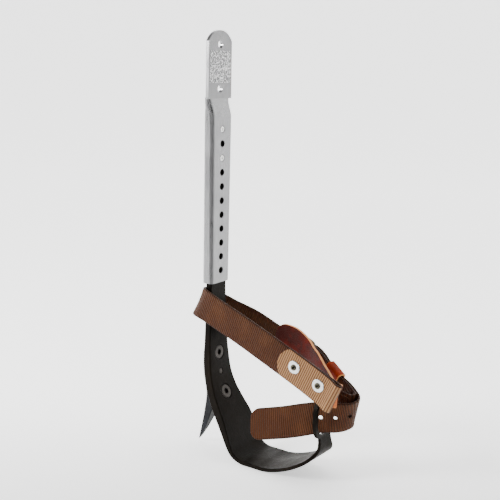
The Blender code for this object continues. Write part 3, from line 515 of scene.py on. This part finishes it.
def sweep(name, points, wide, facing, travel, loop, scale, materials, closed=False, relief=None):
    """A solid swept along points: the loop's v runs along 'wide' and its depth along 'facing'.

    The faces on the loop's two broad sides and on its edges get materials 0, 2 and 1, as far as
    there are that many, and the UVs are metres along and across.
    """
    count, ring = len(points), len(loop)
    v = loop[None, :, 0] * scale[:, None]
    depth = np.repeat(loop[None, :, 1], count, axis=0)
    if relief:
        depth = depth + np.sign(loop[None, :, 1]) * relief(travel[:, None], v, loop)
    verts = points[:, None, :] + wide[:, None, :] * v[:, :, None] + facing[:, None, :] * depth[:, :, None]
    rows = count if closed else count - 1
    base = np.arange(rows)[:, None] * ring
    above = ((np.arange(rows) + 1) % count)[:, None] * ring
    i = np.arange(ring)[None, :]
    j = (i + 1) % ring
    quads = np.stack([base + i, base + j, above + j, above + i], axis=2).reshape(-1, 4)
    faces = [tuple(q) for q in quads.tolist()]
    if not closed:
        faces.append(tuple(range(ring)))
        faces.append(tuple(range(count * ring - 1, (count - 1) * ring - 1, -1)))
    mesh = bpy.data.meshes.new(name)
    mesh.from_pydata((verts.reshape(-1, 3) * MM).tolist(), [], faces)
    layer = mesh.uv_layers.new(name="strap")
    index = np.empty(len(mesh.loops), int)
    mesh.loops.foreach_get("vertex_index", index)
    flat_uv = np.stack([np.repeat(travel, ring) * MM, v.reshape(-1) * MM], axis=1)
    layer.data.foreach_set("uv", flat_uv[index].astype(np.float32).ravel())
    for material in materials:
        mesh.materials.append(material)
    if len(materials) > 1:
        deepest = np.abs(loop[:, 1]).max() - 1e-6
        broad = (np.abs(loop[:, 1]) > deepest) & (np.abs(np.roll(loop[:, 1], -1)) > deepest)
        broad &= loop[:, 1] * np.roll(loop[:, 1], -1) > 0
        kinds = np.where(broad, np.where(loop[:, 1] > 0, 0, min(2, len(materials) - 1)), 1)
        slots = np.concatenate([np.tile(kinds, rows), np.full(len(faces) - rows * ring, 1)])
        mesh.polygons.foreach_set("material_index", slots.astype(np.int32))
    bm = bmesh.new()
    bm.from_mesh(mesh)
    bmesh.ops.recalc_face_normals(bm, faces=bm.faces)
    bm.to_mesh(mesh)
    bm.free()
    mesh.shade_smooth()
    mesh.set_sharp_from_angle(angle=math.radians(50))
    obj = bpy.data.objects.new(name, mesh)
    bpy.context.scene.collection.objects.link(obj)
    return obj


def strip(name, route, width, thickness, corner, spacing, across_count, materials, relief=None,
          halves=None):
    """A strap along a route of stations; also returns its samples and where they face."""
    samples, travel = evenly(smooth(route, 24), spacing)
    along, wide, facing = strip_axes(samples)
    scale = np.ones(len(samples))
    if halves:
        scale = halves(samples, travel) / (width / 2)
    loop = section_loop(width / 2, thickness, corner, across_count)
    obj = sweep(name, samples[:, :3], wide, facing, travel, loop, scale, materials, False, relief)
    return obj, samples, wide, facing


def stitches(name, seams, material, length=2.6, gap=0.9, radius=0.32):
    """Thread: short bowed stitches along seams, each a list of (point, outward) pairs in mm."""
    bm = bmesh.new()
    for seam in seams:
        places = np.array([tuple(p) for p, _ in seam], float)
        outward = np.array([tuple(o) for _, o in seam], float)
        travel = np.concatenate([[0.0], np.cumsum(np.linalg.norm(np.diff(places, axis=0), axis=1))])
        start = 0.4
        while start + length < travel[-1]:
            rings = []
            steps = 6
            for step in range(steps + 1):
                at = start + length * step / steps
                middle = np.array([np.interp(at, travel, places[:, i]) for i in range(3)])
                out = unit(np.array([[np.interp(at, travel, outward[:, i]) for i in range(3)]]))[0]
                ahead = np.array([np.interp(at + 0.05, travel, places[:, i]) for i in range(3)])
                behind = np.array([np.interp(at - 0.05, travel, places[:, i]) for i in range(3)])
                along = unit((ahead - behind)[None, :])[0]
                side = np.cross(along, out)
                swell = math.sin(math.pi * (0.12 + 0.76 * step / steps))
                middle = middle + out * (radius * (1.5 * swell - 0.7))
                ring = []
                for corner in range(8):
                    angle = 2 * math.pi * corner / 8
                    offset = side * math.cos(angle) + out * math.sin(angle)
                    ring.append(bm.verts.new(Vector(middle + offset * radius * (0.45 + 0.55 * swell)) * MM))
                rings.append(ring)
            for low, high in zip(rings, rings[1:]):
                for i in range(8):
                    j = (i + 1) % 8
                    bm.faces.new((low[i], low[j], high[j], high[i]))
            bm.faces.new(rings[0][::-1])
            bm.faces.new(rings[-1])
            start += length + gap
    bmesh.ops.recalc_face_normals(bm, faces=bm.faces)
    obj = named(name, bm)
    obj.data.shade_smooth()
    obj.data.materials.append(material)
    return obj


def settle(obj, body, node, replaces=False):
    """Makes a piece ride a body and stand for a node."""
    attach(obj, body)
    if replaces:
        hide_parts(node)


def rib_relief(travel, v, loop):
    """Round ribs across the webbing, fading into the selvedge."""
    ridge = np.abs(np.sin(math.pi * travel / RIB_PITCH)) ** 0.6
    on_face = (np.abs(loop[None, :, 1]) > WEB_THICKNESS / 2 - 0.6).astype(float)
    return RIB_DEPTH * (ridge - 1.0) * (0.35 + 0.65 * on_face)


# ---------------------------------------------------------------- cutters

def cylinder(name, radius, length, direction, point, sides=32):
    bm = bmesh.new()
    bmesh.ops.create_cone(bm, cap_ends=True, segments=sides, radius1=radius * MM, radius2=radius * MM,
                          depth=length * MM)
    turn = Vector(direction).to_track_quat("Z", "Y").to_matrix().to_4x4()
    bmesh.ops.transform(bm, matrix=Matrix.Translation(Vector(point) * MM) @ turn, verts=bm.verts)
    return named(name, bm)


def block(name, size, axes, point):
    bm = bmesh.new()
    bmesh.ops.create_cube(bm, size=1.0)
    turn = Matrix([axes[i] * size[i] * MM for i in range(3)]).transposed().to_4x4()
    bmesh.ops.transform(bm, matrix=Matrix.Translation(Vector(point) * MM) @ turn, verts=bm.verts)
    return named(name, bm)


def named(name, bm):
    mesh = bpy.data.meshes.new(name)
    bm.to_mesh(mesh)
    bm.free()
    obj = bpy.data.objects.new(name, mesh)
    bpy.context.scene.collection.objects.link(obj)
    return obj


def merged(name, objects):
    """One mesh object from several, which are removed."""
    bm = bmesh.new()
    for obj in objects:
        bm.from_mesh(obj.data)
        bpy.data.objects.remove(obj, do_unlink=True)
    return named(name, bm)


def carve(obj, cutters):
    """Cuts shapes out of a piece for good."""
    cutter = merged(obj.name + "_cutters", cutters)
    modifier = obj.modifiers.new("cut", "BOOLEAN")
    modifier.operation = "DIFFERENCE"
    modifier.object = cutter
    bpy.context.view_layer.update()
    cut = bpy.data.meshes.new_from_object(obj.evaluated_get(bpy.context.evaluated_depsgraph_get()))
    obj.modifiers.clear()
    obj.data = cut
    bpy.data.objects.remove(cutter, do_unlink=True)


# ---------------------------------------------------------------- soft pieces

def round_end(travel, width, radius):
    """Half widths that close a strip's last stretch into a round end."""
    left = np.minimum(travel[-1] - travel, radius)
    return width / 2 - radius + np.sqrt(np.maximum(radius ** 2 - (radius - left) ** 2, 0.05))


def bowed_start(travel, width, radius):
    """Half widths that give a strip's first stretch a bowed cut."""
    along = np.minimum(travel, radius)
    return np.minimum(width / 2, np.sqrt(np.maximum(radius ** 2 - (radius - along) ** 2, 0.05)))


def rivet_place(x, y):
    return x, y, front_height(x) + RIVET_RISE


def seam_on(samples, wide, facing, first, last, across, rise):
    """A seam along a strip between two sample numbers, beside its middle and above its face."""
    step = 1 if last > first else -1
    return [(samples[i, :3] + wide[i] * across + facing[i] * rise, facing[i] * math.copysign(1.0, rise))
            for i in range(first, last, 4 * step)]


def make_ankle_strap(materials):
    def widths(samples, travel):
        return np.minimum(round_end(travel, WEB_WIDTH, TAIL_RADIUS),
                          bowed_start(travel, WEB_WIDTH, BOW_RADIUS))

    obj, samples, _, facing = strip(
        "ankle_strap_webbing", ankle_strap_route(), WEB_WIDTH, WEB_THICKNESS, WEB_EDGE,
        RIB_PITCH / RIB_STEPS, 22, materials, rib_relief, widths)
    cutters = [cylinder("rivet_hole", RIVET_HOLE, 9.0, (0, 1, 0), rivet_place(x, FRONT_Y - LAYER / 2))
               for x in RIVET_X]
    back = np.cumsum(np.linalg.norm(np.diff(samples[::-1, :3], axis=0), axis=1))
    for index in range(PUNCH_COUNT):
        at = len(samples) - 1 - int(np.searchsorted(back, PUNCH_FIRST + PUNCH_PITCH * index))
        cutters.append(cylinder("punch", PUNCH_RADIUS, 5.0, facing[at], samples[at, :3]))
    cutters.append(block("tongue_slot", TONGUE_SLOT, (ALONG, OUT, ACROSS), back_point(-8.0, 3.0)))
    carve(obj, cutters)
    settle(obj, "climber", "ankle_strap", True)


def make_buckle_strap(materials, thread):
    obj, samples, wide, facing = strip(
        "buckle_strap_webbing", buckle_strap_route(), WEB_WIDTH, WEB_THICKNESS, WEB_EDGE,
        RIB_PITCH / RIB_STEPS, 22, materials, rib_relief)
    carve(obj, [block("hub_slot", HUB_SLOT, (ALONG, OUT, ACROSS), back_point(-1.0, 0.0))])
    settle(obj, "climber", "buckle_strap", True)
    surface = WEB_THICKNESS / 2
    last = len(samples) - 4
    hem = [seam_on(samples, wide, facing, last - 40, last, across, side * surface)
           for across in (-11.0, -3.7, 3.7, 11.0) for side in (-1, 1)]
    sewn = stitches("hem_stitches", hem, thread)
    settle(sewn, "climber", "buckle_strap")


def make_guard(grain, edge, flesh):
    def widths(samples, travel):
        halves = round_end(travel, GUARD_WIDTH, GUARD_WIDTH / 2)
        flare = GUARD_WIDTH / 2 - GUARD_TAB_HALF
        flap = GUARD_TAB_HALF + flare * np.clip((GUARD_FLARE_X - samples[:, 0]) / 10.0, 0.0, 1.0)
        return np.minimum(halves, np.where(samples[:, 1] < GUARD_TAB_Y, GUARD_TAB_HALF, flap))

    obj, _, _, _ = strip("leather_guard_flap", guard_route(), GUARD_WIDTH, LEATHER, 0.3, 0.7, 14,
                         [grain, edge, flesh], None, widths)
    carve(obj, [cylinder("guard_hole", RIVET_HOLE, 5.0, (0, 1, 0), rivet_place(x, FRONT_Y + 3.0))
                for x in RIVET_X])
    settle(obj, "climber", "leather_guard", True)


def keeper_outline(half_out, half_wide, radius, spacing=0.5):
    """A rounded rectangle round the webbing: places and outward directions, in mm."""
    places, outward = [], []
    corners = ((1, 1), (-1, 1), (-1, -1), (1, -1))
    for quarter, (side_out, side_wide) in enumerate(corners):
        for step in range(9):
            angle = math.radians(90 * quarter + 90 * step / 8)
            turn = (math.cos(angle), math.sin(angle))
            places.append((side_out * (half_out - radius) + radius * turn[0],
                           side_wide * (half_wide - radius) + radius * turn[1]))
            outward.append(turn)
    places, outward = np.array(places + places[:1]), np.array(outward + outward[:1])
    travel = np.concatenate([[0.0], np.cumsum(np.linalg.norm(np.diff(places, axis=0), axis=1))])
    wanted = np.linspace(0.0, travel[-1], int(travel[-1] / spacing) + 1)[:-1]
    pick = [np.interp(wanted, travel, column) for column in (*places.T, *outward.T)]
    return np.stack(pick[:2], axis=1), unit(np.stack(pick[2:], axis=1)), wanted


def make_keeper(grain, edge, flesh, thread):
    """A leather band round both layers of webbing, sewn on its outer side."""
    wall = 1.7
    half_out = LAYER / 2 + WEB_THICKNESS / 2 + 0.5 + wall / 2
    half_wide = WEB_WIDTH / 2 + 0.7 + wall / 2
    places, outward, travel = keeper_outline(half_out, half_wide, 2.6)
    axes = np.array([tuple(KEEPER_OUT), tuple(KEEPER_ACROSS)])
    points = np.array(tuple(KEEPER)) + places @ axes
    facing = outward @ axes
    wide = np.repeat(np.array([tuple(KEEPER_AXIS)]), len(points), axis=0)
    loop = section_loop(KEEPER_LENGTH / 2, wall, 0.3, 12)
    obj = sweep("keeper_band", points, wide, facing, travel, loop, np.ones(len(points)),
                [grain, edge, flesh], True)
    settle(obj, "keeper", "leather_keeper", True)
    seams = []
    for along in (-6.6, 6.6):
        seams.append([(keeper_point(along, half_out + wall / 2) + KEEPER_ACROSS * w, KEEPER_OUT)
                      for w in np.linspace(-11.0, 11.0, 23)])
        seams.append([(keeper_point(along, -half_out - wall / 2) + KEEPER_ACROSS * w, -KEEPER_OUT)
                      for w in np.linspace(-11.0, 11.0, 23)])
    sewn = stitches("keeper_stitches", seams, thread, 2.2, 0.8, 0.28)
    settle(sewn, "keeper", "leather_keeper")


# ---------------------------------------------------------------- studio

def make_camera():
    heading, tilt, roll = (math.radians(a) for a in (CAMERA_HEADING, CAMERA_TILT, CAMERA_ROLL))
    forward = Vector((-math.sin(heading) * math.cos(tilt), math.cos(heading) * math.cos(tilt),
                      -math.sin(tilt)))
    right = forward.cross(Vector((0.0, 0.0, 1.0))).normalized()
    up = right.cross(forward)
    right, up = right * math.cos(roll) + up * math.sin(roll), up * math.cos(roll) - right * math.sin(roll)
    camera = bpy.data.objects.new("camera", bpy.data.cameras.new("camera"))
    camera.data.lens = CAMERA_LENS
    turn = Matrix((right, up, -forward)).transposed().to_4x4()
    camera.matrix_world = Matrix.Translation(CAMERA_PLACE) @ turn
    bpy.context.scene.collection.objects.link(camera)
    bpy.context.scene.camera = camera


def make_light(name, place, aim, size, power):
    lamp = bpy.data.lights.new(name, "AREA")
    lamp.shape = "RECTANGLE"
    lamp.size, lamp.size_y = size
    lamp.energy = power
    obj = bpy.data.objects.new(name, lamp)
    obj.location = place
    obj.rotation_mode = "QUATERNION"
    obj.rotation_quaternion = (Vector(aim) - Vector(place)).to_track_quat("-Z", "Y")
    bpy.context.scene.collection.objects.link(obj)


def make_floor():
    """A floor that curves up into a round backdrop: pale, painted dark on the camera's side as painted shade,
    and glowing behind the object as painted light.
    """
    s = Shader("studio_floor", 0.75)
    grain = s.noise(s.object_coordinates(), 90.0, 3.0)
    colour = s.blend(s.spread(grain, 0.3, 0.7), (0.93, 0.93, 0.925, 1.0), (0.95, 0.95, 0.945, 1.0))
    x, y, _ = s.split(s.object_coordinates())
    nearer = s.math("ADD", s.math("MULTIPLY", x, TOWARD_CAMERA[0]), s.math("MULTIPLY", y, TOWARD_CAMERA[1]))
    # painted shade: the floor darkens towards the camera
    s.put("Base Color", s.blend(s.spread(nearer, 0.12, 0.7), colour, (0.03, 0.03, 0.031, 1.0)))
    s.put("Emission Color", (1.0, 1.0, 1.0, 1.0))
    # painted light: the floor glows behind the object though it is no lamp
    s.put("Emission Strength", s.spread(nearer, -0.2, 0.3, BACKDROP_GLOW, 0.0))
    low = cad_bounds[0].z - 0.0006
    flat, bend, wall = 1.9, 1.2, 3.2
    profile = [(0.02, 0.0), (flat, 0.0)]
    for step in range(1, 13):
        angle = math.radians(90 * step / 12)
        profile.append((flat + bend * math.sin(angle), bend * (1 - math.cos(angle))))
    profile.append((flat + bend, wall))
    around = 72
    verts = [(r * math.cos(2 * math.pi * i / around), r * math.sin(2 * math.pi * i / around), low + h)
             for r, h in profile for i in range(around)]
    faces = [tuple(range(around))]
    for row in range(len(profile) - 1):
        for i in range(around):
            j = (i + 1) % around
            faces.append((row * around + i, row * around + j, (row + 1) * around + j, (row + 1) * around + i))
    mesh = bpy.data.meshes.new("studio_floor")
    mesh.from_pydata(verts, [], faces)
    mesh.shade_smooth()
    mesh.materials.append(s.material)
    floor = bpy.data.objects.new("studio_floor", mesh)
    bpy.context.scene.collection.objects.link(floor)


def make_world():
    world = bpy.data.worlds.new("studio")
    world.use_nodes = True
    background = world.node_tree.nodes["Background"]
    background.inputs["Color"].default_value = (1.0, 1.0, 1.0, 1.0)
    background.inputs["Strength"].default_value = 0.3
    bpy.context.scene.world = world


# ---------------------------------------------------------------- the whole

def round_edges(node, width, bright_edge=None):
    """Rounds a hard piece's sharp edges; its rounded edges may show a brighter material, which on the frame
    is wear and a painted highlight.
    """
    bevel = node.modifiers.new("edges", "BEVEL")
    bevel.limit_method = "ANGLE"
    bevel.angle_limit = math.radians(28)
    bevel.width = width * MM
    bevel.segments = 3
    bevel.harden_normals = True
    if bright_edge:
        node.data.materials.append(bright_edge)
        bevel.material = 1


def dress_cad_nodes():
    forged = forged_material("forged_frame", rgb(4, 3, 2), rgb(16, 11, 7))
    # the frame's rounded edges: lighter worn steel, also brightened as a painted highlight along the chamfers
    bright_edge = forged_material("forged_frame_edge_wear_and_highlight", rgb(206, 188, 158), rgb(92, 78, 60), 0.3, 0.8)
    dark_zinc = plated_material("dark_zinc", (0.055, 0.05, 0.045, 1.0), (0.025, 0.022, 0.02, 1.0), 0.36)
    nickel = plated_material("nickel_plate", (0.9, 0.9, 0.88, 1.0), (0.7, 0.7, 0.68, 1.0), 0.2)
    rivet = plated_material("rivet_shank", rgb(104, 100, 84), rgb(58, 54, 44), 0.34)
    olive = plated_material("buckle_plate", rgb(120, 114, 96), rgb(84, 78, 64), 0.36)
    gaff = forged_material("gaff_steel", rgb(14, 15, 17), rgb(32, 34, 38), 0.32)
    gaff_edge = forged_material("gaff_edge", rgb(124, 128, 132), rgb(70, 72, 76), 0.3)
    looks = {
        "climber_frame": (forged, 0.55, bright_edge), "strap_loop": (forged, 0.0, None),
        "gaff": (gaff, 0.25, gaff_edge), "sleeve": (sleeve_material(), 0.35, None),
        "gaff_screw_upper": (dark_zinc, 0.2, None), "gaff_screw_lower": (dark_zinc, 0.2, None),
        "gaff_locating_pin": (dark_zinc, 0.15, None), "sleeve_screw_upper": (nickel, 0.15, None),
        "sleeve_screw_lower": (nickel, 0.15, None), "buckle_frame": (olive, 0.0, None),
        "buckle_roller": (olive, 0.2, None), "buckle_tongue": (olive, 0.0, None),
    }
    for side in ("left", "right"):
        for kind in ("rivet", "rivet_washer", "rivet_burr"):
            looks[f"{kind}_{side}"] = (rivet if kind == "rivet" else nickel, 0.08, None)
    for name, (look, width, edge) in looks.items():
        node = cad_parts[name]
        node.data.materials.clear()
        node.data.materials.append(look)
        if width:
            round_edges(node, width, edge)


def main():
    dress_cad_nodes()
    tint = (rgb(12, 4, 1), rgb(72, 34, 12), rgb(156, 104, 60))
    face = webbing_material("webbing_face", tint)
    # the reverse side, lighter tan on the riveted end, partly as painted light on the lit fold
    reverse = webbing_material("webbing_reverse", tint, rgb(188, 144, 102))
    # one leather painted twice: the guard darker as painted shade, the keeper lighter and more orange as
    # painted light
    shaded_guard_grain = leather_material("guard_leather_painted_shade", rgb(58, 9, 2), rgb(106, 21, 4))
    lit_keeper_grain = leather_material("keeper_leather_painted_lit", rgb(120, 36, 8), rgb(170, 62, 18))
    edge = fibrous_material("leather_cut_edge", rgb(196, 116, 58), rgb(236, 172, 108), rgb(160, 82, 36), 0.7)
    flesh = fibrous_material("leather_flesh_side", rgb(180, 84, 26), rgb(214, 120, 52), rgb(140, 58, 18),
                             0.75)
    thread = thread_material()
    make_ankle_strap([face, face, reverse])
    make_buckle_strap([face], thread)
    make_guard(shaded_guard_grain, edge, flesh)
    make_keeper(lit_keeper_grain, edge, flesh, thread)
    make_camera()
    make_floor()
    make_world()
    make_light("key", (-0.95, -1.2, 0.75), (0.0, 0.0, 0.12), (0.5, 0.6), 44.0)
    make_light("front", (1.15, -1.0, 0.4), (-0.06, 0.0, 0.2), (1.0, 1.2), 11.0)
    make_light("top", (0.1, 0.3, 1.7), (0.0, 0.0, 0.12), (1.0, 0.8), 14.0)


main()
